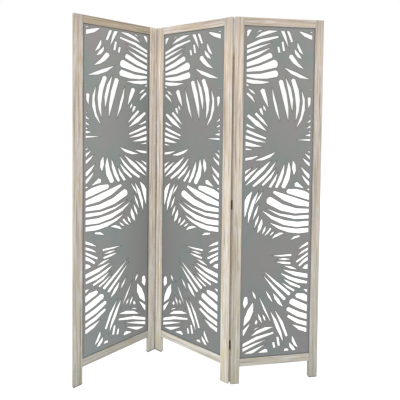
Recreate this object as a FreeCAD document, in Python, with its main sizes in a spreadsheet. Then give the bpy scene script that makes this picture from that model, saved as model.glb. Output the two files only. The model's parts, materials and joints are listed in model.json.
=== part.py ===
import FreeCAD, Part
import math
import os
import re
from FreeCAD import Placement, Rotation, Vector

# Sizes: name, value in millimetres or degrees, meaning
SIZES = [
    ("panel_height", 1700, "floor to the top of the stiles"),
    ("panel_width", 424, "outer edge to outer edge of one panel"),
    ("frame_thickness", 19, "front to back of stiles and rails"),
    ("stile_width", 41.5, "face width of a stile"),
    ("top_rail_width", 37, "face height of the top rail"),
    ("bottom_rail_width", 37, "face height of the bottom rail"),
    ("leg_height", 80, "floor to the underside of the bottom rail"),
    ("edge_ease", 1, "chamfer along the edges of stiles and rails"),
    ("tenon_length", 25, "how far a rail reaches into a stile"),
    ("tenon_thickness", 7, "front to back of a tenon"),
    ("tenon_shoulder", 5, "step above and below a tenon"),
    ("joint_play", 0.1, "gap on each side of a tenon or a board in its slot"),
    ("joint_end_gap", 1, "room past the end of a tenon and past the edges of a board"),
    ("board_thickness", 4, "front to back of a fretwork board"),
    ("board_setback", 2.5, "front of the frame to the front of the board"),
    ("groove_depth", 7, "depth of the groove around the opening"),
    ("window_side_margin", 14, "plain strip of board beside the pierced field"),
    ("middle_window_shift", -4.5, "how far the middle board's pierced field lies off its centre"),
    ("left_window_rise", 6.5, "how far the left board's pierced field lies above the others"),
    ("window_top_margin", 18, "plain strip of board above the pierced field"),
    ("window_bottom_margin", 20, "plain strip of board below the pierced field"),
    ("hinge_height", 44, "length of a hinge along its pin"),
    ("leaf_width", 15, "pin axis to the far edge of a hinge leaf"),
    ("leaf_thickness", 1.2, "sheet thickness of a hinge leaf"),
    ("knuckle_diameter", 4.4, "outside of the rolled knuckles"),
    ("pin_diameter", 2, "hinge pin"),
    ("pin_overhang", 0.8, "pin end past the knuckles"),
    ("pin_play", 0.05, "gap around the pin in its knuckles"),
    ("running_gap", 0.3, "least gap between pieces that turn past each other"),
    ("fold_gap", 0.4, "edge to edge of two stiles when the screen is straight"),
    ("face_gap", 0.6, "face to face of two panels when they are folded together"),
    ("top_hinge_drop", 200, "top of the stiles to the middle of the top hinge"),
    ("bottom_hinge_rise", 176, "floor to the middle of the bottom hinge"),
    ("left_panel_turn", 36, "left panel's turn out of the straight line"),
    ("middle_panel_turn", -30.6, "middle panel's turn out of the straight line"),
    ("right_panel_turn", 6.7, "right panel's turn out of the straight line"),
]

# Leaf drawing of the middle and right boards; the left board is its mirror image.
# Each slot is its start, middle and end as (across, down, clear width); a width of 0 is a pointed end.
# The clear width is what shows at a slant, so the slot is wider by SLANT_LOSS.
# A pointed end doesn't show where it is narrower than POINT_LOSS, so it reaches that much further.
# Its long edges are arcs, sawn in straight runs that stay within CHORD_DEPTH of the arc.
# A blunt end that is at least TIP_FROM wide stands out by TIP_SHARE of its width: with one corner,
# or rounded if it is at least ROUND_FROM wide.
DRAWING_LEFT = 16
DRAWING_TOP = 17.5
DRAWING_WIDTH = 311.5
DRAWING_HEIGHT = 1508
DRAWING_REPEAT = 1388.5
LEAF_SLOTS = {
    "top left leaf": [
        ((52, -9, 0), (31.5, 18, 13), (12, 43, 20)),
        ((62, 31, 0), (80, 20.5, 6), (98, 13, 0)),
        ((55, 55, 0), (107, 29, 16), (162, 18, 0)),
        ((8, 100, 12), (88.5, 64, 14), (164, 45, 7)),
        ((8, 122, 14), (70, 97.5, 11), (129, 75, 0)),
        ((8, 150, 15), (68, 126, 14), (125, 98, 0)),
        ((8, 181, 16), (67, 160.5, 22), (129, 131, 24)),
        ((8, 205, 10), (80, 192.5, 24), (152, 168, 36)),
        ((8, 226, 8), (82, 229, 22), (157, 214.5, 30)),
        ((8, 249, 13), (69, 256.5, 15), (126, 254, 0)),
        ((10, 266, 8), (20, 270.5, 8), (29, 275.5, 0)),
        ((25, 286, 0), (42.5, 298.5, 9), (60, 313, 0)),
        ((20, 307, 9), (39.5, 326.5, 12.5), (58, 350, 0)),
    ],
    "top stems": [
        ((164, 91, 9), (167, 105, 10.5), (170, 118, 9)),
        ((184, 67, 9), (188, 90, 13), (192, 110, 10)),
        ((150, -53, 0), (184, 18, 16), (212, 90, 0)),
        ((171, -59, 0), (203.5, 3, 15), (230, 67, 9)),
    ],
    "top right petals": [
        ((257, 67, 0), (264, 95, 13), (285, 124, 0)),
        ((243, 99, 0), (256, 123, 15), (278, 143, 0)),
        ((224, 132, 21), (248, 161.5, 18), (288, 189, 0)),
        ((195, 186, 0), (241, 211.5, 16.5), (314, 236, 0)),
        ((256, 12, 0), (290, 31.5, 14), (334, 46, 19)),
    ],
    "upper burst, top": [
        ((178.5, 248, 20), (203, 334, 19), (217.5, 429, 0)),
        ((202, 233, 0), (226, 305, 17.5), (236, 386, 0)),
        ((238, 241, 18.5), (262.5, 332, 19.5), (254, 430, 0)),
        ((281.5, 292, 0), (292, 374, 12.5), (259, 461, 0)),
    ],
    "upper burst, right": [
        ((318.5, 325, 15), (319, 347, 12.5), (315, 373, 0)),
        ((322, 284, 0), (326, 285, 6), (331, 286, 6)),
        ((320, 410, 0), (325, 408, 6), (331, 406, 6)),
        ((309, 443, 0), (318, 437, 8), (330, 429, 10)),
        ((309, 468, 0), (319, 463, 8), (330, 457, 10)),
        ((316.5, 486, 0), (322.5, 483.5, 6), (330, 480.5, 7)),
        ((303, 501, 0), (316, 500, 9), (330, 499, 13)),
        ((264, 522, 0), (296, 522, 6), (330, 521.5, 8)),
    ],
    "upper burst, left": [
        ((92, 291, 21), (106, 330.5, 16), (121, 371, 0)),
        ((139, 284, 0), (154.5, 357, 12), (177, 431, 0)),
        ((97, 360, 0), (102, 374, 9), (110, 389, 0)),
        ((83, 376, 11), (89, 391, 12), (97, 408, 0)),
        ((61, 399, 11), (89.5, 427.5, 13), (121, 460.5, 0)),
        ((24, 408, 10.5), (63.5, 441.5, 21.5), (114, 480.5, 0)),
        ((20, 452, 9), (40, 461.5, 9), (62, 470.5, 0)),
        ((20, 480, 11), (66, 498, 12.5), (113, 515.5, 6)),
        ((16, 508, 14), (64, 522.5, 12), (112, 533, 0)),
        ((14, 539, 19), (55, 546, 13.5), (93, 552, 0)),
        ((17, 564, 7), (33, 566, 6.5), (51, 568, 0)),
    ],
    "upper burst, bottom": [
        ((10, 613, 10), (44, 607, 10), (79, 596, 0)),
        ((65, 616.5, 0), (112, 605, 14), (158, 580, 0)),
        ((9, 679, 13), (27, 665.5, 10), (47, 650, 0)),
        ((12, 708, 15), (43, 678.5, 10.5), (79, 648, 0)),
        ((18, 733, 0), (77.5, 678.5, 18.5), (137, 619, 0)),
        ((55, 737, 9), (114, 687, 13), (163, 622, 0)),
        ((99, 733, 8), (132, 699.5, 13), (162, 658, 0)),
        ((134.5, 743, 10), (155, 711, 12.5), (171, 676, 0)),
        ((165, 745, 10), (187.5, 694, 18), (203, 635, 0)),
        ((200, 743, 19), (221.5, 690, 22), (225, 623, 0)),
        ((244.5, 618, 0), (250.5, 652, 18.5), (250.5, 688, 0)),
        ((261, 729.5, 22), (277.5, 738, 16), (300, 749.5, 0)),
    ],
    "right edge": [
        ((314, 572, 0), (321, 577.5, 5.5), (330, 583, 7)),
        ((301, 585, 0), (314, 596.5, 9), (329, 608, 13)),
        ((291, 606, 0), (308, 622, 10), (328, 640, 13)),
        ((284, 649, 0), (304, 672, 12), (328, 697, 17)),
        ((288.5, 686, 0), (306.5, 709, 10.5), (328, 732, 14)),
        ((316, 756, 0), (322, 756, 7), (330, 757, 8)),
    ],
    "middle left leaf": [
        ((51, 761, 0), (22.5, 817, 22), (18, 880, 0)),
        ((80, 762, 0), (50.5, 832, 17), (33.5, 910, 0)),
        ((102, 761, 0), (84, 789, 7), (64, 822, 0)),
        ((82.5, 823, 0), (70, 858, 9), (56, 895, 0)),
        ((87, 869, 0), (75, 900, 9.5), (63.5, 933, 0)),
        ((99.5, 889, 0), (91.8, 924, 16.5), (78, 957, 0)),
        ((119.5, 924, 0), (111.5, 943, 9.5), (101, 964, 0)),
        ((143, 936, 7), (129, 953, 9), (110.5, 972, 0)),
        ((162, 949, 0), (150, 960, 6.5), (136, 972, 0)),
        ((150, 985, 0), (177, 967.5, 13.5), (207, 960, 0)),
    ],
    "middle right leaf": [
        ((221, 762.5, 18), (268, 770.5, 33), (332, 793, 27)),
        ((153, 764.5, 10), (236, 803, 32), (332, 829, 19)),
        ((131, 803, 33), (216, 846.5, 27.5), (332, 857.5, 16)),
        ((127, 845, 0), (220, 882, 11), (332, 885.5, 16)),
        ((103, 853, 0), (204, 909.5, 20.5), (332, 917, 22)),
        ((141, 911, 0), (230, 947.5, 18.5), (332, 949, 19)),
        ((240, 993, 0), (262, 981, 9), (284, 976.5, 6)),
    ],
    "lower right edge": [
        ((277, 1041, 0), (302, 1025, 8), (331, 1010, 12)),
        ((275, 1070, 0), (300, 1053.5, 8.5), (331, 1037, 10.5)),
        ((271, 1100.5, 7.5), (297, 1080.5, 9), (331, 1059, 9)),
        ((284, 1119.5, 8), (302, 1102, 10.5), (331, 1083, 15)),
        ((301, 1132, 0), (314, 1128, 18), (332, 1124.5, 27)),
    ],
    "lower fan": [
        ((154, 1066, 0), (203, 1067, 7.5), (246, 1066, 8)),
        ((179, 1082.5, 0), (211, 1084, 7.5), (243, 1086, 0)),
        ((172, 1096.5, 0), (210, 1101.5, 10), (242, 1105.5, 8)),
        ((210, 1116, 0), (242, 1125, 9.5), (275, 1136, 0)),
        ((206, 1135, 0), (266, 1157, 17.5), (332, 1171, 19)),
        ((195, 1151, 0), (258, 1184.5, 15.5), (326, 1201.5, 10)),
        ((210, 1180, 0), (252, 1206.5, 13), (292, 1222.5, 8.5)),
        ((203, 1197, 0), (236, 1221, 10), (263, 1238, 8)),
        ((117, 1142, 0), (177, 1199, 10.5), (239, 1253, 15)),
        ((114.5, 1162.5, 0), (166, 1222, 12), (216, 1276, 14)),
        ((124, 1232, 0), (140.5, 1260, 8), (157, 1288, 0)),
        ((160, 1245, 0), (180, 1277, 15.5), (207, 1311, 0)),
        ((60, 1231, 0), (68, 1250, 9), (77, 1269, 0)),
        ((94, 1263, 0), (119.5, 1319, 7), (148.5, 1378, 0)),
        ((87, 1338, 0), (97, 1361, 9), (107, 1385, 0)),
        ((110, 1343, 0), (117.5, 1359, 8), (125, 1376, 0)),
        ((82.5, 1368, 0), (79.5, 1379, 11), (76.5, 1387, 9)),
    ],
    "bottom left petals": [
        ((28, 1258, 14), (27, 1280, 22.5), (21.5, 1309, 0)),
        ((63, 1284, 0), (45.5, 1337, 30), (19, 1393, 0)),
    ],
    "bottom right leaf": [
        ((309, 1234, 0), (319, 1238, 8), (330, 1242, 16)),
        ((274, 1261, 19), (297, 1265, 27.5), (333, 1283, 25)),
        ((249, 1288, 27), (285, 1306, 31), (334, 1329, 27)),
        ((231.5, 1323, 17), (276, 1348, 23), (334, 1369, 23)),
        ((232, 1357, 11), (279, 1385, 17.5), (334, 1404, 18)),
    ],
}
SLANT_LOSS = 1.4
POINT_LOSS = 2.5
CHORD_DEPTH = 2.4
TIP_FROM = 14
ROUND_FROM = 24
TIP_SHARE = 0.3

# Formulas that several pieces share
OPENING_WIDTH = "(panel_width - 2 * stile_width)"
OPENING_BOTTOM = "(leg_height + bottom_rail_width)"
OPENING_TOP = "(panel_height - top_rail_width)"
GROOVE_FRONT = "(board_setback - joint_play)"
GROOVE_WIDTH = "(board_thickness + 2 * joint_play)"
TENON_FRONT = "((frame_thickness - tenon_thickness) / 2)"
LEAF_SIDE = "(fold_gap / 2)"
KNUCKLE_REACH = "(knuckle_diameter / 2 + running_gap)"
LEAF_START = f"sqrt({KNUCKLE_REACH}^2 - {LEAF_SIDE}^2)"
KNUCKLE_LENGTH = "((hinge_height - running_gap) / 2)"
HINGE_PLACES = {
    "Top": "(panel_height - top_hinge_drop)",
    "Centre": "((panel_height - top_hinge_drop + bottom_hinge_rise) / 2)",
    "Bottom": "bottom_hinge_rise",
}

# The face on which each hinged stile turns
HINGED_STILES = {
    "left_panel_right_stile": "0",
    "middle_panel_left_stile": "0",
    "middle_panel_right_stile": "frame_thickness",
    "right_panel_left_stile": "frame_thickness",
}

NO_TURN = Rotation()
HALF_TURN_X = Rotation(Vector(1, 0, 0), 180)
HALF_TURN_Y = Rotation(Vector(0, 1, 0), 180)
HALF_TURN_Z = Rotation(Vector(0, 0, 1), 180)


def write_sizes(doc):
    """Fills the sheet that drives the whole screen."""
    sheet = doc.addObject("Spreadsheet::Sheet", "Sizes")
    for row, (name, value, meaning) in enumerate(SIZES, 1):
        sheet.set(f"A{row}", name)
        sheet.set(f"B{row}", str(value))
        sheet.set(f"C{row}", meaning)
        sheet.setAlias(f"B{row}", name)
    doc.recompute()
    return sheet


def cell_formula(text):
    """Writes the size names in a formula as cells of the sheet."""
    names = {name for name, _, _ in SIZES}
    return re.sub("[a-z_]+", lambda word: f"Sizes.{word[0]}" if word[0] in names else word[0], text)


def bind(feature, **formulas):
    """Ties properties of a feature to formulas; x, y and z are its place."""
    for name, text in formulas.items():
        path = f"Placement.Base.{name}" if name in "xyz" else name
        feature.setExpression(path, cell_formula(text))
    return feature


def result(feature, text):
    """The value of a formula, worked out beside a feature of the document."""
    return float(feature.evalExpression(cell_formula(text)))


def ease_edges(doc, body, block, direction, square_corner=None):
    """Chamfers the edges of a block that run along a direction, except the one through a corner kept square."""
    doc.recompute()
    names = []
    for number, edge in enumerate(block.Shape.Edges, 1):
        start = edge.valueAt(edge.FirstParameter)
        if abs(edge.tangentAt(edge.FirstParameter).dot(direction)) < 0.9:
            continue
        if square_corner and Vector(start.x, start.y, 0).isEqual(square_corner, 0.001):
            continue
        names.append(f"Edge{number}")
    chamfer = body.newObject("PartDesign::Chamfer", "EasedEdges")
    chamfer.Base = (block, names)
    bind(chamfer, Size="edge_ease")


def house_hinges(body, edge, face):
    """Beds for the hinge leaves in the edge of a stile, and notches in its corner for their knuckles."""
    bed = ("leaf_thickness", "(leaf_width - face_gap / 2 + joint_play)", "(hinge_height / 2 + joint_play)")
    notch = (f"({KNUCKLE_REACH} - fold_gap / 2)", f"({KNUCKLE_REACH} - face_gap / 2)",
             "(hinge_height / 2 + pin_overhang + running_gap)")
    for place, height in HINGE_PLACES.items():
        for name, (depth, reach, half_length) in (("Bed", bed), ("Notch", notch)):
            housing = body.newObject("PartDesign::SubtractiveBox", f"{place}{name}")
            bind(housing, x=f"{edge} - {depth}", y=f"{face} - {reach}", z=f"{height} - {half_length}")
            bind(housing, Length=f"2 * {depth}", Width=f"2 * {reach}", Height=f"2 * {half_length}")


def make_stile(doc, label, outer_edge, inner_edge):
    """A full-height upright, grooved for the board, mortised for both rails and housed for its hinges."""
    body = doc.addObject("PartDesign::Body", label)
    block = body.newObject("PartDesign::AdditiveBox", "Block")
    bind(block, x=f"min({outer_edge}; {inner_edge})", y="0", z="0")
    bind(block, Length="stile_width", Width="frame_thickness", Height="panel_height")
    hinge_face = HINGED_STILES.get(label)
    hinge_corner = hinge_face and Vector(result(block, outer_edge), result(block, hinge_face), 0)
    ease_edges(doc, body, block, Vector(0, 0, 1), hinge_corner)

    groove = body.newObject("PartDesign::SubtractiveBox", "Groove")
    bind(groove, x=f"{inner_edge} - groove_depth", y=GROOVE_FRONT, z=f"{OPENING_BOTTOM} - groove_depth")
    bind(groove, Length="2 * groove_depth", Width=GROOVE_WIDTH)
    bind(groove, Height=f"{OPENING_TOP} - {OPENING_BOTTOM} + 2 * groove_depth")

    mortise_reach = "(tenon_length + joint_end_gap)"
    lower_start = "leg_height + tenon_shoulder - joint_play"
    upper_start = f"{OPENING_TOP} + groove_depth + tenon_shoulder - joint_play"
    for name, start, rail_width in (("LowerMortise", lower_start, "bottom_rail_width"),
                                    ("UpperMortise", upper_start, "top_rail_width")):
        mortise = body.newObject("PartDesign::SubtractiveBox", name)
        bind(mortise, x=f"{inner_edge} - {mortise_reach}", y=f"{TENON_FRONT} - joint_play", z=start)
        bind(mortise, Length=f"2 * {mortise_reach}", Width="tenon_thickness + 2 * joint_play")
        bind(mortise, Height=f"{rail_width} - groove_depth - 2 * tenon_shoulder + 2 * joint_play")
    if hinge_face:
        house_hinges(body, outer_edge, hinge_face)
    return body


def make_rail(doc, label, bottom, rail_width, groove_bottom, tenon_bottom):
    """A cross piece between the stiles, with a tenon at each end and a groove for the board."""
    body = doc.addObject("PartDesign::Body", label)
    block = body.newObject("PartDesign::AdditiveBox", "Block")
    bind(block, x="stile_width", y="0", z=bottom)
    bind(block, Length=OPENING_WIDTH, Width="frame_thickness", Height=rail_width)
    ease_edges(doc, body, block, Vector(1, 0, 0))

    groove = body.newObject("PartDesign::SubtractiveBox", "Groove")
    bind(groove, x="0", y=GROOVE_FRONT, z=groove_bottom)
    bind(groove, Length="panel_width", Width=GROOVE_WIDTH, Height="groove_depth")

    tenon = body.newObject("PartDesign::AdditiveBox", "Tenons")
    bind(tenon, x="stile_width - tenon_length", y=TENON_FRONT, z=tenon_bottom)
    bind(tenon, Length=f"{OPENING_WIDTH} + 2 * tenon_length", Width="tenon_thickness")
    bind(tenon, Height=f"{rail_width} - groove_depth - 2 * tenon_shoulder")
    return body


def bowed_edge(start, through, end):
    """Points along the arc through three points, as many as its straight runs need."""
    chord = end - start
    bow = chord.cross(through - start).Length / chord.Length
    runs = math.ceil(math.sqrt(bow / CHORD_DEPTH))
    if runs < 2:
        return [start, end]
    return Part.Arc(start, through, end).toShape().discretize(runs + 1)


def slot_tip(corner, place, outwards, width):
    """The points that stand out of a wide blunt end, going on from one of its corners."""
    if width < TIP_FROM:
        return []
    tip = place + outwards.normalize() * (TIP_SHARE * width)
    if width < ROUND_FROM:
        return [tip]
    return Part.Arc(corner, tip, place * 2 - corner).toShape().discretize(5)[1:-1]


def slot_outline(places, widths):
    """Two long edges from the start over the middle to the end, closed across blunt ends."""
    headings = [places[1] - places[0], places[2] - places[0], places[2] - places[1]]
    one_side = []
    other_side = []
    for place, width, heading in zip(places, widths, headings):
        across = heading.cross(Vector(0, 1, 0)).normalize() * (width / 2)
        one_side.append(place + across)
        other_side.append(place - across)
    there = bowed_edge(*one_side)
    back = bowed_edge(*reversed(other_side))
    if not widths[0]:
        back.pop()
    if not widths[2]:
        there.pop()
    end_tip = slot_tip(there[-1], places[2], places[2] - places[1], widths[2])
    start_tip = slot_tip(back[-1], places[0], places[0] - places[1], widths[0])
    return Part.makePolygon(there + end_tip + back + start_tip + there[:1])


def slots_in_window(size):
    """All leaf slots of the middle and right boards, as cutters clipped to the pierced field."""
    left = size["stile_width"] + size["window_side_margin"]
    bottom = size["leg_height"] + size["bottom_rail_width"] + size["window_bottom_margin"]
    width = size["panel_width"] - 2 * left
    height = size["panel_height"] - size["top_rail_width"] - size["window_top_margin"] - bottom
    across_scale = width / DRAWING_WIDTH
    down_scale = height / DRAWING_HEIGHT
    depth = Vector(0, size["frame_thickness"], 0)

    cutters = []
    for leaf in LEAF_SLOTS.values():
        for slot in leaf:
            widths = [width + SLANT_LOSS if width else 0 for _, _, width in slot]
            reach = max(widths) / 2
            for shift in (-DRAWING_REPEAT, 0, DRAWING_REPEAT):
                downs = [down + shift - DRAWING_TOP for _, down, _ in slot]
                if max(downs) < -reach or min(downs) > DRAWING_HEIGHT + reach:
                    continue
                places = []
                for (across, _, _), down in zip(slot, downs):
                    x = left + (across - DRAWING_LEFT) * across_scale
                    places.append(Vector(x, 0, bottom + height - down * down_scale))
                for end in (0, 2):
                    if not widths[end]:
                        places[end] += (places[end] - places[1]) * (POINT_LOSS / (2 * widths[1]))
                cutters.append(Part.Face(slot_outline(places, widths)).extrude(depth))
    window = Part.makeBox(width, size["frame_thickness"], height, Vector(left, 0, bottom))
    return cutters[0].multiFuse(cutters[1:]).common(window)


def make_slots(doc, size):
    """The leaf slots of each board: mirrored and lifted on the left one, off centre on the middle one."""
    slots = doc.addObject("Part::Feature", "right_leaf_slots")
    slots.Shape = slots_in_window(size)
    shifted = doc.addObject("Part::Feature", "middle_leaf_slots")
    shifted.Shape = slots.Shape
    bind(shifted, x="middle_window_shift", y="0", z="0")
    lifted = doc.addObject("Part::Feature", "lifted_leaf_slots")
    lifted.Shape = slots.Shape
    bind(lifted, x="0", y="0", z="left_window_rise")
    mirrored = doc.addObject("Part::Mirroring", "left_leaf_slots")
    mirrored.Source = lifted
    mirrored.Base = Vector(size["panel_width"] / 2, 0, 0)
    mirrored.Normal = Vector(1, 0, 0)
    return {"left": mirrored, "middle": shifted, "right": slots}


def make_board(doc, label, slots):
    """A thin board that stands in the grooves, pierced with the leaf slots."""
    edge_room = "(groove_depth - joint_end_gap)"
    blank = doc.addObject("Part::Box", f"{label}_blank")
    bind(blank, x=f"stile_width - {edge_room}", y="board_setback", z=f"{OPENING_BOTTOM} - groove_depth")
    bind(blank, Length=f"{OPENING_WIDTH} + 2 * {edge_room}", Width="board_thickness")
    bind(blank, Height=f"{OPENING_TOP} - {OPENING_BOTTOM} + groove_depth + {edge_room}")
    board = doc.addObject("Part::Cut", label)
    board.Base = blank
    board.Tool = slots
    return board


def make_panel(doc, side, slots):
    """One framed board; its own frame has the front lower left corner at the origin."""
    return [
        make_stile(doc, f"{side}_panel_left_stile", "0", "stile_width"),
        make_stile(doc, f"{side}_panel_right_stile", "panel_width", "(panel_width - stile_width)"),
        make_rail(doc, f"{side}_panel_top_rail", OPENING_TOP, "top_rail_width",
                  OPENING_TOP, f"{OPENING_TOP} + groove_depth + tenon_shoulder"),
        make_rail(doc, f"{side}_panel_bottom_rail", "leg_height", "bottom_rail_width",
                  f"{OPENING_BOTTOM} - groove_depth", "leg_height + tenon_shoulder"),
        make_board(doc, f"{side}_panel_fretwork_board", slots),
    ]


def make_leaf(doc, label):
    """A hinge leaf: a plate against the wood at +X, its lower half rolled into a knuckle around the Z axis."""
    bottom = "-hinge_height / 2"
    plate = doc.addObject("Part::Box", f"{label}_plate")
    bind(plate, x=LEAF_SIDE, y=LEAF_START, z=bottom)
    bind(plate, Length="leaf_thickness", Width=f"leaf_width - {LEAF_START}", Height="hinge_height")
    root = doc.addObject("Part::Box", f"{label}_root")
    bind(root, x=LEAF_SIDE, y="0", z=bottom)
    bind(root, Length="leaf_thickness", Width="leaf_width", Height=KNUCKLE_LENGTH)
    barrel = doc.addObject("Part::Cylinder", f"{label}_barrel")
    bind(barrel, z=bottom, Radius="knuckle_diameter / 2", Height=KNUCKLE_LENGTH)
    blank = doc.addObject("Part::MultiFuse", f"{label}_blank")
    blank.Shapes = [plate, root, barrel]
    blank.Refine = True
    bore = doc.addObject("Part::Cylinder", f"{label}_bore")
    bind(bore, z="-hinge_height", Radius="pin_diameter / 2 + pin_play", Height="2 * hinge_height")
    leaf = doc.addObject("Part::Cut", label)
    leaf.Base = blank
    leaf.Tool = bore
    return leaf


def make_pin(doc, label):
    """A plain round pin, a little longer than the knuckles."""
    pin = doc.addObject("Part::Cylinder", label)
    bind(pin, Radius="pin_diameter / 2", Height="hinge_height + 2 * pin_overhang")
    return pin


def fold_axes(size):
    """The fold axes in the panels' own frames: where a panel's left or right edge turns on its front or back."""
    left = -size["fold_gap"] / 2
    right = size["panel_width"] + size["fold_gap"] / 2
    front = -size["face_gap"] / 2
    back = size["frame_thickness"] + size["face_gap"] / 2
    return {
        "left front": Vector(left, front, 0),
        "right front": Vector(right, front, 0),
        "left back": Vector(left, back, 0),
        "right back": Vector(right, back, 0),
    }


def panel_poses(size, axes):
    """Stands the panels so that neighbours share a fold axis, centred over the origin."""
    turns = {side: Rotation(Vector(0, 0, 1), size[f"{side}_panel_turn"]) for side in ("left", "middle", "right")}
    left_fold = Vector(0, 0, 0)
    places = {
        "left": left_fold - turns["left"].multVec(axes["right front"]),
        "middle": left_fold - turns["middle"].multVec(axes["left front"]),
    }
    right_fold = places["middle"] + turns["middle"].multVec(axes["right back"])
    places["right"] = right_fold - turns["right"].multVec(axes["left back"])
    poses = {side: Placement(place, turns[side]) for side, place in places.items()}

    box = FreeCAD.BoundBox()
    for pose in poses.values():
        for x in (0, size["panel_width"]):
            for y in (0, size["frame_thickness"]):
                box.add(pose.multVec(Vector(x, y, 0)))
    centre = Placement(-box.Center, NO_TURN)
    return {side: centre * pose for side, pose in poses.items()}


def make_fold_hinges(doc, size, fold, outer_panel, outer_seat, middle_seat):
    """The hinges of one fold: a leaf on the outer panel, a leaf on the middle panel, and the pin."""
    top = size["panel_height"] - size["top_hinge_drop"]
    bottom = size["bottom_hinge_rise"]
    pin_drop = Vector(0, 0, size["hinge_height"] / 2 + size["pin_overhang"])
    pieces = []
    for place, height in (("top", top), ("centre", (top + bottom) / 2), ("bottom", bottom)):
        lift = Placement(Vector(0, 0, height), NO_TURN)
        outer_leaf = make_leaf(doc, f"{fold}_{place}_hinge_{outer_panel}_leaf")
        outer_leaf.Placement = lift * outer_seat
        middle_leaf = make_leaf(doc, f"{fold}_{place}_hinge_middle_leaf")
        middle_leaf.Placement = lift * middle_seat
        pin = make_pin(doc, f"{fold}_{place}_hinge_pin")
        pin.Placement = Placement(lift.Base + middle_seat.Base - pin_drop, NO_TURN)
        pieces += [outer_leaf, middle_leaf, pin]
    return pieces


def make_hinges(doc, size, axes, poses):
    """Hinges on the front of the left fold and on the back of the right fold."""
    left_pieces = make_fold_hinges(doc, size, "left_fold", "left",
                                   poses["left"] * Placement(axes["right front"], HALF_TURN_Y),
                                   poses["middle"] * Placement(axes["left front"], NO_TURN))
    right_pieces = make_fold_hinges(doc, size, "right_fold", "right",
                                    poses["right"] * Placement(axes["left back"], HALF_TURN_X),
                                    poses["middle"] * Placement(axes["right back"], HALF_TURN_Z))
    return left_pieces + right_pieces


def write_pieces(doc, pieces):
    """Checks every object of the document and writes each piece as its own solid."""
    doc.recompute()
    for item in doc.Objects:
        if "Invalid" in item.State or "Error" in item.State:
            raise RuntimeError(f"{item.Label} did not build: {item.State}")
    os.makedirs("parts", exist_ok=True)
    for piece in pieces:
        shape = piece.Shape
        if shape.isNull() or not shape.isValid() or len(shape.Solids) != 1:
            raise RuntimeError(f"{piece.Label} is not one valid solid")
        shape.exportStep(f"parts/{piece.Label}.step")


def main():
    doc = FreeCAD.newDocument("FoldingScreen")
    sheet = write_sizes(doc)
    size = {name: float(sheet.get(name)) for name, _, _ in SIZES}
    axes = fold_axes(size)
    poses = panel_poses(size, axes)
    pieces = []
    for side, board_slots in make_slots(doc, size).items():
        panel = make_panel(doc, side, board_slots)
        for piece in panel:
            piece.Placement = poses[side]
        pieces += panel
    pieces += make_hinges(doc, size, axes, poses)
    write_pieces(doc, pieces)


main()
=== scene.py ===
"""Looks of a three-panel folding screen: limed wood frames, painted fretwork boards and plated hinges."""

import json
import math

import bmesh
import bpy
from mathutils import Matrix, Vector


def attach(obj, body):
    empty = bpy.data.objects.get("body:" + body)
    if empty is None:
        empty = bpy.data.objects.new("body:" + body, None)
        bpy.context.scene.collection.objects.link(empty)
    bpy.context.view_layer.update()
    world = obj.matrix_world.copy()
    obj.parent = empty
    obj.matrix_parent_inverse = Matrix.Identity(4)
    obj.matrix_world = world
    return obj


def srgb(red, green, blue):
    """A colour given as it looks on a screen, 0 to 255, as the linear values that shaders take."""
    linear = []
    for value in (red, green, blue):
        share = value / 255
        linear.append(share / 12.92 if share <= 0.04045 else ((share + 0.055) / 1.055) ** 2.4)
    return (*linear, 1)


# How each panel stands: its turn about the vertical, in degrees
PANEL_TURNS = {"left": 36, "middle": -30.6, "right": 6.7}

# The timber of a panel, and whether each piece stands upright
TIMBERS = {"left_stile": True, "right_stile": True, "top_rail": False, "bottom_rail": False}

# Hinge places, in metres; the leaf sizes are measured from the pin axis
HINGE_HEIGHTS = {"top": 1.500, "centre": 0.838, "bottom": 0.176}
LEAF_FACE = 0.0002
SCREW_FROM_PIN = 0.0088
SCREW_SPREAD = 0.013

# How far the crosses of a leaf's two screws are turned, in radians
SCREW_SPINS = (0.08, 1.12)

# Screw head, in metres
HEAD_RIM_RADIUS = 0.0029
HEAD_TOP_RADIUS = 0.0025
HEAD_HEIGHT = 0.00016
CROSS_REACH = 0.0016
CROSS_HALF_WIDTH = 0.00038
CROSS_DEPTH = 0.00012
HEAD_SIDES = 24

# How light each piece of timber is at its top and at its foot, 1 being the wash's own colour; this is
# partly its own tone and partly painted light and shade that evens out how the lamps fall on it; and how
# honey-coloured it is, 0 to 1
TIMBER_TONES_AND_LIGHT = {
    "left_panel_left_stile": (0.76, 0.77, 0.0),
    "left_panel_right_stile": (1.12, 1.12, 0.0),
    "left_panel_top_rail": (0.65, 0.65, 0.5),
    "left_panel_bottom_rail": (0.77, 0.77, 0.0),
    "middle_panel_left_stile": (1.09, 1.27, 0.0),
    "middle_panel_right_stile": (0.93, 1.21, 0.1),
    "middle_panel_top_rail": (1.05, 1.05, 0.0),
    "middle_panel_bottom_rail": (1.17, 1.17, 0.0),
    "right_panel_left_stile": (0.88, 0.80, 0.1),
    "right_panel_right_stile": (0.72, 0.73, 0.0),
    "right_panel_top_rail": (0.85, 0.85, 0.0),
    "right_panel_bottom_rail": (0.81, 0.81, 0.0),
}

# Painted shade in the corners of the timber: 1 is dark, 0 is as the faces, and -1 is pale with painted
# light;
# the first share holds below the first height, in metres, and the second above the second
LEFT_FOLD_PAINTED_SHADE = {"heights": (1.2, 1.5), "shares": (1, 0.3)}
RIGHT_FOLD_PAINTED_SHADE_AND_LIGHT = {"heights": (1.5, 1.58), "shares": (0.2, -1)}
PLAIN_PAINTED_SHADE = {"heights": (0, 1.7), "shares": (0.6, 0.6)}
FOLD_PAINTED_SHADE_AND_LIGHT = {
    "left_panel_right_stile": LEFT_FOLD_PAINTED_SHADE,
    "middle_panel_left_stile": LEFT_FOLD_PAINTED_SHADE,
    "middle_panel_right_stile": RIGHT_FOLD_PAINTED_SHADE_AND_LIGHT,
    "right_panel_left_stile": RIGHT_FOLD_PAINTED_SHADE_AND_LIGHT,
}

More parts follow.
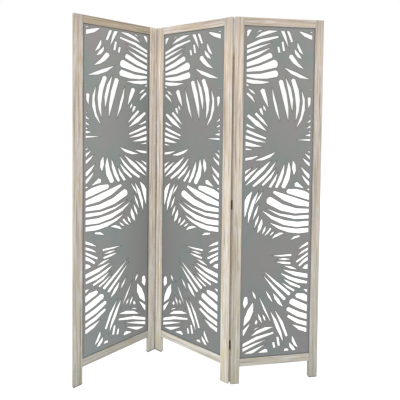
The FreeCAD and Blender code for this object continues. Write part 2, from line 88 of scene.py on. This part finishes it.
# Painted light and shade on each board's paint, at its top and at its foot; the right board, lit most, is
# darkest
BOARD_PAINTED_LIGHT = {"left": (1.01, 1.03), "middle": (0.95, 0.99), "right": (0.92, 0.86)}

# How dark a board is along the stiles beside it, and along the rails, 0 to 1
STILE_SHADE = {"left": 0.95, "middle": 0.2, "right": 0.25}
RAIL_SHADE = 0.65

# Heights in metres between which a look changes
TONE_AND_LIGHT_HEIGHTS = (0.1, 1.5)
FOOT_DARKENING_HEIGHTS = (0.13, 0.03)
HANDLING_HEIGHTS = (1.56, 1.68)
TOP_RAIL_HEIGHTS = (1.645, 1.655)
BOTTOM_RAIL_HEIGHTS = (0.135, 0.125)
TARNISH_AND_SHADE_HEIGHTS = (0.9, 1.4)

# Where an effect starts and where it is full, by how alike two normals are or how open a place is
ARRIS_LIKENESS = (0.99, 0.8)
BROAD_LIKENESS = (0.5, 0.9)
RIM_OPENNESS = (0.97, 0.7)
WOOD_CORNER_OPENNESS = (0.97, 0.84)
BOARD_BORDER_OPENNESS = (0.97, 0.87)
STEEL_CORNER_OPENNESS = (0.7, 0.5)

# How many rays find the arrises, and the corners and rims
BEVEL_SAMPLES = 4
OCCLUSION_SAMPLES = 8

# The range in which most of a noise's values lie, and how far it moves on from piece to piece, in metres
NOISE_RANGE = (0.3, 0.7)
GRAIN_STEP = Vector((0.31, 0.47, 0.83))
PAINT_STEP = Vector((0.7, 0.2, 0.5))

# Limed wood: its marks along and across the grain in metres, its colours and how much of each shows
TINT_GRAIN = {"along": 0.17, "across": 0.014, "detail": 3}
STREAK_GRAIN = {"along": 0.30, "across": 0.0055, "detail": 3, "distortion": 0.4}
PORE_GRAIN = {"along": 0.07, "across": 0.0011, "detail": 2}
WOOD_TINTS = (
    (0.30, srgb(204, 198, 176)),
    (0.40, srgb(239, 230, 223)),
    (0.50, srgb(233, 217, 205)),
    (0.58, srgb(227, 211, 182)),
    (0.68, srgb(246, 240, 236)),
)
HONEY = srgb(234, 208, 166)
# Painted shade towards the floor, as a colour that the wood is multiplied by
FOOT_PAINTED_SHADE = (0.88, 0.965, 1, 1)
STREAK_TINTS = (
    (0.0, srgb(168, 157, 146)),
    (0.5, srgb(240, 238, 236)),
    (1.0, srgb(255, 255, 255)),
)
STREAK_SHARE = 0.85
OPEN_PORE = srgb(160, 142, 122)
OPEN_PORE_RANGE = (0.58, 0.72)
OPEN_PORE_SHARE = 0.35
LIMED_PORE = srgb(238, 233, 226)
LIMED_PORE_RANGE = (0.42, 0.30)
LIMED_PORE_SHARE = 0.4
WORN_ARRIS = srgb(232, 223, 210)
WORN_ARRIS_RADIUS = 0.002
WORN_ARRIS_SHARE = 0.5
# Darker near the floor
FOOT_DARKENING = srgb(230, 231, 226)
FOOT_DARKENING_SHARE = 0.7
HANDLING = srgb(230, 230, 230)
HANDLING_SHARE = 0.85
# Painted shade darkens the corners of the timber, and painted light pales some of them
CORNER_REACH = 0.007
CORNER_PAINTED_SHADE = srgb(50, 38, 29)
CORNER_PAINTED_LIGHT = srgb(250, 250, 250)
WOOD_ROUGHNESS = (0.72, 0.55)
WOOD_RELIEF = {"depth": 0.0004, "strength": 0.5}

# Painted board: its marks in metres, its colours and how much of each shows
PAINT_CLOUD_SIZE = (0.09, 0.09, 0.16)
ROLLER_MARK_SIZE = (0.0012, 0.0012, 0.0022)
PAINT_TINTS = (
    (0.32, srgb(128, 137, 133)),
    (0.50, srgb(137, 138, 134)),
    (0.68, srgb(142, 136, 135)),
)
ROLLER_MARK = srgb(120, 124, 122)
ROLLER_MARK_RANGE = (0.35, 0.65)
ROLLER_MARK_SHARE = 0.10
FOOT_COOLING = (0.985, 1.01, 1.06, 1)
RIM_REACH = 0.0038
RIM_PAINT = srgb(80, 80, 76)
RIM_SHARE = 0.85
BORDER_REACH = 0.008
BORDER_SHADOW = srgb(50, 47, 47)
SAWN_WALL = srgb(230, 228, 222)
SAWN_WALL_SHARE = 0.85
PAINT_ROUGHNESS = (0.5, 0.65)
PAINT_RELIEF = {"depth": 0.0002, "strength": 0.35}

# Plated steel: its marks in metres, the darker and lighter colour of each piece, and its wear
STEEL_CLOUD_SIZE = (0.006, 0.006, 0.009)
SCRATCH_SIZE = (0.0006, 0.0006, 0.008)
LEAF_PLATE = ((0.35, srgb(208, 194, 174)), (0.65, srgb(232, 220, 202)))
PIN_PLATE = ((0.35, srgb(184, 173, 158)), (0.65, srgb(212, 201, 186)))
SCREW_PLATE = ((0.35, srgb(166, 154, 138)), (0.65, srgb(198, 186, 170)))
BRIGHT_EDGE = srgb(230, 221, 208)
BRIGHT_EDGE_RADIUS = 0.0006
BRIGHT_EDGE_SHARE = 0.7
# Tarnish in the corners, partly painted shade: strongest on the lower hinges, light on the top ones
TARNISH_AND_SHADE = srgb(118, 92, 78)
TARNISH_AND_SHADE_REACH = 0.012
TARNISH_AND_SHADE_SHARES = (0.9, 0.1)
STEEL_METALLIC = 0.4
STEEL_ROUGHNESS = (0.5, 0.35)
STEEL_RELIEF = {"depth": 0.0001, "strength": 0.3}

# Sheen of wood and paint
MATT_SPECULAR = 0.3

# Camera, fitted to the corners of the panels: place in metres, angles in radians, focal length and centre
# in pixels of the image, sensor in millimetres
IMAGE_SIZE = 400
CAMERA_PLACE = (-0.0426, -1.5524, 1.2591)
CAMERA_PITCH = -0.02594
CAMERA_ROLL = 0.01041
CAMERA_FOCAL = 318.34
CAMERA_CENTRE = (190.71, 121.81)
SENSOR_WIDTH = 36

# Light and floor: sizes in metres, lamps in watts
WHITE = (1, 1, 1, 1)
WORLD_LIGHT = 0.95
FLOOR_ALBEDO = 0.35
FLOOR_GLOW = 0.75
FLOOR_REACH = 40
FLOOR_CELLS = 8
FLOOR_DROP = 0.0005
LAMPS = {
    "left_light": {"place": (-3.3, -2.0, 2.3), "size": 2.4, "power": 74},
    "right_light": {"place": (3.7, -1.2, 2.3), "size": 2.4, "power": 100},
    "back_light": {"place": (1.0, 3.8, 3.0), "size": 2.4, "power": 70},
}
LAMP_TARGET = Vector((0, 0, 0.9))


def new_material(name):
    """A node material with its principled shader."""
    material = bpy.data.materials.new(name)
    material.use_nodes = True
    shader = material.node_tree.nodes["Principled BSDF"]
    return material, shader


def add_node(tree, kind, values=None, **settings):
    """A node with its settings and the values of its unlinked inputs."""
    node = tree.nodes.new(kind)
    for name, value in settings.items():
        setattr(node, name, value)
    for name, value in (values or {}).items():
        node.inputs[name].default_value = value
    return node


def mix_colours(tree, share, first, second, blend="MIX"):
    """A blend of two colours; each input is a socket or a fixed value."""
    mix = add_node(tree, "ShaderNodeMix", data_type="RGBA", blend_type=blend)
    sockets = {socket.identifier: socket for socket in mix.inputs}
    for identifier, value in (("Factor_Float", share), ("A_Color", first), ("B_Color", second)):
        if isinstance(value, bpy.types.NodeSocket):
            tree.links.new(value, sockets[identifier])
        else:
            sockets[identifier].default_value = value
    return {socket.identifier: socket for socket in mix.outputs}["Result_Color"]


def remap(tree, value, source=(0, 1), target=(0, 1)):
    """A value taken from one range to another, held at the ends."""
    ends = {"From Min": source[0], "From Max": source[1], "To Min": target[0], "To Max": target[1]}
    node = add_node(tree, "ShaderNodeMapRange", ends)
    tree.links.new(value, node.inputs["Value"])
    return node.outputs["Result"]


def combine(tree, operation, first, *others):
    """Values taken together by one operation, such as their product or the largest of them."""
    for other in others:
        node = add_node(tree, "ShaderNodeMath", operation=operation)
        tree.links.new(first, node.inputs[0])
        tree.links.new(other, node.inputs[1])
        first = node.outputs["Value"]
    return first


def noise(tree, feature_size, turn=0, shift=(0, 0, 0), detail=2, distortion=0):
    """Noise whose features have a size in metres along the axes of a turned panel."""
    coordinates = add_node(tree, "ShaderNodeTexCoord")
    spread = {"Location": shift, "Rotation": (0, 0, math.radians(turn)), "Scale": feature_size}
    mapping = add_node(tree, "ShaderNodeMapping", spread, vector_type="TEXTURE")
    texture = add_node(tree, "ShaderNodeTexNoise", {"Scale": 1, "Detail": detail, "Distortion": distortion})
    tree.links.new(coordinates.outputs["Object"], mapping.inputs["Vector"])
    tree.links.new(mapping.outputs["Vector"], texture.inputs["Vector"])
    return texture.outputs["Fac"]


def colour_ramp(tree, value, stops):
    """Colours along a value, as (position, colour) stops."""
    ramp = add_node(tree, "ShaderNodeValToRGB")
    elements = ramp.color_ramp.elements
    while len(elements) < len(stops):
        elements.new(0.5)
    for element, (position, colour) in zip(elements, stops):
        element.position = position
        element.color = colour
    tree.links.new(value, ramp.inputs["Fac"])
    return ramp.outputs["Color"]


def edge_wear(tree, radius):
    """1 along the arrises of a piece, 0 on its faces."""
    rounded = add_node(tree, "ShaderNodeBevel", {"Radius": radius}, samples=BEVEL_SAMPLES)
    geometry = add_node(tree, "ShaderNodeNewGeometry")
    likeness = add_node(tree, "ShaderNodeVectorMath", operation="DOT_PRODUCT")
    tree.links.new(rounded.outputs["Normal"], likeness.inputs[0])
    tree.links.new(geometry.outputs["Normal"], likeness.inputs[1])
    return remap(tree, likeness.outputs["Value"], ARRIS_LIKENESS)


def openness(tree, reach, **settings):
    """How open a place is to what lies within reach, 1 being clear of it all."""
    values = {"Distance": reach}
    occlusion = add_node(tree, "ShaderNodeAmbientOcclusion", values, samples=OCCLUSION_SAMPLES, **settings)
    return occlusion.outputs["AO"]


def crevices(tree, reach, limits):
    """1 in the corners between pieces, 0 on open faces; the limits are how open a face and a corner are."""
    return remap(tree, openness(tree, reach), limits)


def rims(tree, reach):
    """1 along the edges of a sheet and its openings, 0 elsewhere; the reach is less than its thickness."""
    return remap(tree, openness(tree, reach, inside=True, only_local=True), RIM_OPENNESS)


def facing(tree, turn):
    """1 on the broad faces of a panel, 0 on the walls of its openings."""
    across = Vector((math.sin(math.radians(turn)), -math.cos(math.radians(turn)), 0))
    geometry = add_node(tree, "ShaderNodeNewGeometry")
    likeness = add_node(tree, "ShaderNodeVectorMath", {1: across}, operation="DOT_PRODUCT")
    tree.links.new(geometry.outputs["Normal"], likeness.inputs[0])
    size = add_node(tree, "ShaderNodeMath", operation="ABSOLUTE")
    tree.links.new(likeness.outputs["Value"], size.inputs[0])
    return remap(tree, size.outputs["Value"], BROAD_LIKENESS)


def height_share(tree, heights):
    """0 at the first of two heights, 1 at the second, and held beyond them."""
    coordinates = add_node(tree, "ShaderNodeTexCoord")
    split = add_node(tree, "ShaderNodeSeparateXYZ")
    tree.links.new(coordinates.outputs["Object"], split.inputs["Vector"])
    return remap(tree, split.outputs["Z"], heights)


def add_bump(tree, shader, height, depth, strength):
    """Relief of a surface, its depth in metres."""
    bump = add_node(tree, "ShaderNodeBump", {"Distance": depth, "Strength": strength})
    tree.links.new(height, bump.inputs["Height"])
    tree.links.new(bump.outputs["Normal"], shader.inputs["Normal"])


def limed_wood(name, turn, upright, tones_and_light, corner_light_and_shade, shift):
    """Whitewashed open-grained timber, its grain along the piece, warm above and greyer near the floor with
    painted shade.
    """
    material, shader = new_material(name)
    tree = material.node_tree
    top_tone_and_light, foot_tone_and_light, honey = tones_and_light
    height = height_share(tree, TONE_AND_LIGHT_HEIGHTS)

    def grain(along, across, detail, distortion=0):
        """Noise drawn out along the piece."""
        size = (across, across, along) if upright else (along, across, across)
        return noise(tree, size, turn, shift, detail, distortion)

    # The wood: broad tints, fine streaks, and pores that are open or filled with lime
    tints = colour_ramp(tree, grain(**TINT_GRAIN), WOOD_TINTS)
    warmed = mix_colours(tree, honey, tints, HONEY)
    # Painted shade: greyer and darker towards the floor
    shaded_grey = mix_colours(tree, remap(tree, height, target=(1, 0)), warmed, FOOT_PAINTED_SHADE, "MULTIPLY")
    streaks = remap(tree, grain(**STREAK_GRAIN), source=NOISE_RANGE)
    streaked = mix_colours(tree, STREAK_SHARE, shaded_grey, colour_ramp(tree, streaks, STREAK_TINTS), "MULTIPLY")
    pores = grain(**PORE_GRAIN)
    open_pores = remap(tree, pores, source=OPEN_PORE_RANGE, target=(0, OPEN_PORE_SHARE))
    pored = mix_colours(tree, open_pores, streaked, OPEN_PORE)
    limed_pores = remap(tree, pores, source=LIMED_PORE_RANGE, target=(0, LIMED_PORE_SHARE))
    limed = mix_colours(tree, limed_pores, pored, LIMED_PORE)

    # Its wear and painted light: pale arrises, the tone of this piece, which is partly painted light,
    # darker near the floor, and handling at the top
    wear = remap(tree, edge_wear(tree, WORN_ARRIS_RADIUS), target=(0, WORN_ARRIS_SHARE))
    worn = mix_colours(tree, wear, limed, WORN_ARRIS)
    # The tone of this piece: partly its own, partly painted light and shade
    toned_and_lit = mix_colours(tree, 1, worn, remap(tree, height, target=(foot_tone_and_light, top_tone_and_light)), "MULTIPLY")
    # Darker near the floor
    near_floor_share = remap(tree, height_share(tree, FOOT_DARKENING_HEIGHTS), target=(0, FOOT_DARKENING_SHARE))
    darker_near_floor = mix_colours(tree, near_floor_share, toned_and_lit, FOOT_DARKENING, "MULTIPLY")
    handling = remap(tree, height_share(tree, HANDLING_HEIGHTS), target=(0, HANDLING_SHARE))
    handled = mix_colours(tree, handling, darker_near_floor, HANDLING, "MULTIPLY")

    # Its corners: darker with painted shade, or paler with painted light
    corners = crevices(tree, CORNER_REACH, WOOD_CORNER_OPENNESS)
    corner_light_and_shade_share = remap(tree, height_share(tree, corner_light_and_shade["heights"]), target=corner_light_and_shade["shares"])
    dark = combine(tree, "MULTIPLY", corners, remap(tree, corner_light_and_shade_share))
    shaded_corners = mix_colours(tree, dark, handled, CORNER_PAINTED_SHADE)
    pale = combine(tree, "MULTIPLY", corners, remap(tree, corner_light_and_shade_share, source=(0, -1)))
    lit_corners = mix_colours(tree, pale, shaded_corners, CORNER_PAINTED_LIGHT)

    tree.links.new(lit_corners, shader.inputs["Base Color"])
    tree.links.new(remap(tree, streaks, target=WOOD_ROUGHNESS), shader.inputs["Roughness"])
    shader.inputs["Specular IOR Level"].default_value = MATT_SPECULAR
    add_bump(tree, shader, pores, **WOOD_RELIEF)
    return material


def painted_board(name, turn, tones_and_light, stile_shade, shift):
    """Matt grey paint on a thin pale board, darker along its edges and frame; the sawn walls stay pale."""
    material, shader = new_material(name)
    tree = material.node_tree
    top_tone_and_light, foot_tone_and_light = tones_and_light
    height = height_share(tree, TONE_AND_LIGHT_HEIGHTS)
    broad = facing(tree, turn)

    # The paint: cloudy, stippled by the roller, and cooler near the floor
    clouds = noise(tree, PAINT_CLOUD_SIZE, turn, shift, detail=3)
    paint = colour_ramp(tree, clouds, PAINT_TINTS)
    roller = noise(tree, ROLLER_MARK_SIZE, turn, shift)
    stipple = remap(tree, roller, source=ROLLER_MARK_RANGE, target=(0, ROLLER_MARK_SHARE))
    stippled = mix_colours(tree, stipple, paint, ROLLER_MARK)
    cooled = mix_colours(tree, remap(tree, height, target=(1, 0)), stippled, FOOT_COOLING, "MULTIPLY")
    # The board's tone is painted light and shade
    toned_and_lit = mix_colours(tree, 1, cooled, remap(tree, height, target=(foot_tone_and_light, top_tone_and_light)), "MULTIPLY")

    # Its edges: dark rims round the openings, a dark border along the frame, and pale sawn walls
    rim = remap(tree, combine(tree, "MULTIPLY", rims(tree, RIM_REACH), broad), target=(0, RIM_SHARE))
    rimmed = mix_colours(tree, rim, toned_and_lit, RIM_PAINT)
    by_top_rail = height_share(tree, TOP_RAIL_HEIGHTS)
    by_bottom_rail = height_share(tree, BOTTOM_RAIL_HEIGHTS)
    by_rails = combine(tree, "MAXIMUM", by_top_rail, by_bottom_rail)
    shade = remap(tree, by_rails, target=(stile_shade, RAIL_SHADE))
    frame_corner = crevices(tree, BORDER_REACH, BOARD_BORDER_OPENNESS)
    border = combine(tree, "MULTIPLY", frame_corner, broad, shade)
    bordered = mix_colours(tree, border, rimmed, BORDER_SHADOW)
    walled = mix_colours(tree, remap(tree, broad, target=(SAWN_WALL_SHARE, 0)), bordered, SAWN_WALL)

    tree.links.new(walled, shader.inputs["Base Color"])
    roughness = remap(tree, clouds, source=NOISE_RANGE, target=PAINT_ROUGHNESS)
    tree.links.new(roughness, shader.inputs["Roughness"])
    shader.inputs["Specular IOR Level"].default_value = MATT_SPECULAR
    add_bump(tree, shader, roller, **PAINT_RELIEF)
    return material


def plated_steel(name, plate):
    """Satin plated steel, cloudy with handling, bright along its edges, and tarnished in low corners,
    partly as painted shade on the lower hinges.
    """
    material, shader = new_material(name)
    tree = material.node_tree
    clouds = noise(tree, STEEL_CLOUD_SIZE, detail=4)
    cloudy = colour_ramp(tree, clouds, plate)
    wear = remap(tree, edge_wear(tree, BRIGHT_EDGE_RADIUS), target=(0, BRIGHT_EDGE_SHARE))
    worn = mix_colours(tree, wear, cloudy, BRIGHT_EDGE)
    # Tarnish in the corners, and painted shade that darkens the lower hinges more than the top ones
    tarnish_and_shade_share = remap(tree, height_share(tree, TARNISH_AND_SHADE_HEIGHTS), target=TARNISH_AND_SHADE_SHARES)
    corners = crevices(tree, TARNISH_AND_SHADE_REACH, STEEL_CORNER_OPENNESS)
    tarnished_and_shaded = mix_colours(tree, combine(tree, "MULTIPLY", corners, tarnish_and_shade_share), worn, TARNISH_AND_SHADE)

    tree.links.new(tarnished_and_shaded, shader.inputs["Base Color"])
    roughness = remap(tree, clouds, source=NOISE_RANGE, target=STEEL_ROUGHNESS)
    tree.links.new(roughness, shader.inputs["Roughness"])
    shader.inputs["Metallic"].default_value = STEEL_METALLIC
    add_bump(tree, shader, noise(tree, SCRATCH_SIZE), **STEEL_RELIEF)
    return material


def put_material(piece, material):
    """Gives a piece one material all over."""
    if not piece.material_slots:
        piece.data.materials.append(material)
    for slot in piece.material_slots:
        slot.material = material


def dress_panel(nodes, side, number):
    """Materials of one panel's timber and board; each piece is cut from its own length of wood."""
    turn = PANEL_TURNS[side]
    for place, (piece, upright) in enumerate(TIMBERS.items()):
        name = f"{side}_panel_{piece}"
        shift = GRAIN_STEP * (len(TIMBERS) * number + place + 1)
        corner_light_and_shade = FOLD_PAINTED_SHADE_AND_LIGHT.get(name, PLAIN_PAINTED_SHADE)
        wood = limed_wood(f"limed_wood_{name}", turn, upright, TIMBER_TONES_AND_LIGHT[name], corner_light_and_shade, shift)
        put_material(nodes[name], wood)
    board = f"{side}_panel_fretwork_board"
    shift = PAINT_STEP * number
    paint = painted_board(f"grey_paint_{board}", turn, BOARD_PAINTED_LIGHT[side], STILE_SHADE[side], shift)
    put_material(nodes[board], paint)


def dress_hinges(nodes):
    """Plated leaves and slightly darker pins."""
    leaf = plated_steel("plated_leaf", LEAF_PLATE)
    pin = plated_steel("plated_pin", PIN_PLATE)
    for name, piece in nodes.items():
        if name.endswith("_leaf"):
            put_material(piece, leaf)
        elif name.endswith("_pin"):
            put_material(piece, pin)


def ring(mesh, points):
    """A closed loop of edges through points; returns its corners and edges."""
    corners = [mesh.verts.new(point) for point in points]
    edges = [mesh.edges.new((corner, corners[place - 1])) for place, corner in enumerate(corners)]
    return corners, edges


def wall(mesh, lower, upper):
    """Faces between two loops with as many corners each."""
    for place in range(len(lower)):
        mesh.faces.new((lower[place - 1], lower[place], upper[place], upper[place - 1]))


def circle_points(radius, height):
    """The corners of a screw head's round outline at one height."""
    angles = [2 * math.pi * side / HEAD_SIDES for side in range(HEAD_SIDES)]
    return [Vector((radius * math.cos(angle), radius * math.sin(angle), height)) for angle in angles]


def cross_points(height):
    """The outline of a cross recess, going round."""
    half = CROSS_HALF_WIDTH
    arm = [(CROSS_REACH, -half), (CROSS_REACH, half), (half, half)]
    points = []
    for quarter in range(4):
        turn = Matrix.Rotation(quarter * math.pi / 2, 3, "Z")
        points += [turn @ Vector((x, y, height)) for x, y in arm]
    return points


def add_screw_head(mesh, pose):
    """A countersunk head, a little proud of the leaf, with a cross recess in its top."""
    first = len(mesh.verts)
    rim, _ = ring(mesh, circle_points(HEAD_RIM_RADIUS, 0))
    top, top_edges = ring(mesh, circle_points(HEAD_TOP_RADIUS, HEAD_HEIGHT))
    mouth, mouth_edges = ring(mesh, cross_points(HEAD_HEIGHT))
    bottom, _ = ring(mesh, cross_points(HEAD_HEIGHT - CROSS_DEPTH))
    wall(mesh, rim, top)
    bmesh.ops.triangle_fill(mesh, use_beauty=True, edges=top_edges + mouth_edges)
    wall(mesh, mouth, bottom)
    mesh.faces.new(bottom)
    mesh.faces.new(rim)
    mesh.verts.ensure_lookup_table()
    bmesh.ops.transform(mesh, matrix=pose, verts=mesh.verts[first:])


def add_object(name, mesh):
    """A new object in the scene with this mesh."""
    data = bpy.data.meshes.new(name)
    mesh.to_mesh(data)
    mesh.free()
    made = bpy.data.objects.new(name, data)
    bpy.context.scene.collection.objects.link(made)
    return made


def add_screws(name, seat, body, material):
    """The two screw heads of one hinge leaf, seated on its bare face."""
    mesh = bmesh.new()
    outwards = Matrix.Rotation(-math.pi / 2, 4, "Y")
    for lift, angle in zip((-SCREW_SPREAD, SCREW_SPREAD), SCREW_SPINS):
        spin = Matrix.Rotation(angle, 4, "Z")
        add_screw_head(mesh, seat @ Matrix.Translation((LEAF_FACE, SCREW_FROM_PIN, lift)) @ outwards @ spin)
    bmesh.ops.recalc_face_normals(mesh, faces=mesh.faces)
    screws = add_object(name, mesh)
    put_material(screws, material)
    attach(screws, body)


def screw_hinges(joints):
    """Screws on both leaves of every hinge; a seat turns a leaf's own frame into its place."""
    material = plated_steel("plated_screw", SCREW_PLATE)
    half_turns = {
        ("left_fold", "left"): Matrix.Rotation(math.pi, 4, "Y"),
        ("left_fold", "middle"): Matrix.Identity(4),
        ("right_fold", "right"): Matrix.Rotation(math.pi, 4, "X"),
        ("right_fold", "middle"): Matrix.Rotation(math.pi, 4, "Z"),
    }
    axes = {joint["name"]: joint["pos_m"] for joint in joints}
    for (fold, side), half_turn in half_turns.items():
        turn = Matrix.Rotation(math.radians(PANEL_TURNS[side]), 4, "Z")
        for place, height in HINGE_HEIGHTS.items():
            axis = Matrix.Translation((axes[fold][0], axes[fold][1], height))
            name = f"{fold}_{place}_hinge_{side}_screws"
            add_screws(name, axis @ turn @ half_turn, f"{side}_panel", material)


def shown_white(tree):
    """1 for the rays that show the surroundings themselves: seen directly, mirrored or through glass."""
    rays = add_node(tree, "ShaderNodeLightPath").outputs
    kinds = ("Is Camera Ray", "Is Glossy Ray", "Is Transmission Ray")
    return combine(tree, "MAXIMUM", *[rays[kind] for kind in kinds])


def make_floor():
    """A wide pale floor that shows white and keeps a soft shadow."""
    mesh = bmesh.new()
    bmesh.ops.create_grid(mesh, x_segments=FLOOR_CELLS, y_segments=FLOOR_CELLS, size=FLOOR_REACH)
    floor = add_object("floor", mesh)
    floor.location.z = -FLOOR_DROP

    material, shader = new_material("pale_floor")
    tree = material.node_tree
    shader.inputs["Base Color"].default_value = (FLOOR_ALBEDO, FLOOR_ALBEDO, FLOOR_ALBEDO, 1)
    shader.inputs["Roughness"].default_value = 1
    shader.inputs["Specular IOR Level"].default_value = 0
    shader.inputs["Emission Color"].default_value = WHITE
    glow = remap(tree, shown_white(tree), target=(0, FLOOR_GLOW))
    tree.links.new(glow, shader.inputs["Emission Strength"])
    put_material(floor, material)


def make_world():
    """Even light from all round; it looks white itself."""
    world = bpy.data.worlds.new("studio")
    world.use_nodes = True
    tree = world.node_tree
    background = tree.nodes["Background"]
    background.inputs["Color"].default_value = WHITE
    strength = remap(tree, shown_white(tree), target=(WORLD_LIGHT, 1))
    tree.links.new(strength, background.inputs["Strength"])
    bpy.context.scene.world = world


def make_lamps():
    """Large soft lamps above both front corners and the back."""
    for name, lamp in LAMPS.items():
        data = bpy.data.lights.new(name, "AREA")
        data.shape = "DISK"
        data.size = lamp["size"]
        data.energy = lamp["power"]
        light = bpy.data.objects.new(name, data)
        light.location = lamp["place"]
        light.rotation_euler = (LAMP_TARGET - light.location).to_track_quat("-Z", "Y").to_euler()
        bpy.context.scene.collection.objects.link(light)


def make_camera():
    """The photograph's viewpoint, with its centre off the middle of the image."""
    data = bpy.data.cameras.new("camera")
    data.sensor_width = SENSOR_WIDTH
    data.lens = SENSOR_WIDTH * CAMERA_FOCAL / IMAGE_SIZE
    data.shift_x = 0.5 - CAMERA_CENTRE[0] / IMAGE_SIZE
    data.shift_y = CAMERA_CENTRE[1] / IMAGE_SIZE - 0.5
    camera = bpy.data.objects.new("camera", data)
    tilt = Matrix.Rotation(math.pi / 2 + CAMERA_PITCH, 4, "X")
    roll = Matrix.Rotation(CAMERA_ROLL, 4, "Z")
    camera.matrix_world = Matrix.Translation(CAMERA_PLACE) @ tilt @ roll
    bpy.context.scene.collection.objects.link(camera)
    bpy.context.scene.camera = camera


with open("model.json") as file:
    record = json.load(file)
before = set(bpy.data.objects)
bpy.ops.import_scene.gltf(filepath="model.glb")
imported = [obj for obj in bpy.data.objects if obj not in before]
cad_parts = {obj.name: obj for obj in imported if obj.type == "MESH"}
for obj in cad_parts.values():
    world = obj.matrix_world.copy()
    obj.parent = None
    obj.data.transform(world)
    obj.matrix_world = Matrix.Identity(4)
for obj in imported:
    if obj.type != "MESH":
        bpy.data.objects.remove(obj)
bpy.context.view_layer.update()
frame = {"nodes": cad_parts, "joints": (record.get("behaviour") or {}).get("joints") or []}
for number, side in enumerate(PANEL_TURNS):
    dress_panel(frame["nodes"], side, number)
dress_hinges(frame["nodes"])
screw_hinges(frame["joints"])
make_floor()
make_world()
make_lamps()
make_camera()
bpy.context.scene.view_settings.view_transform = "Standard"
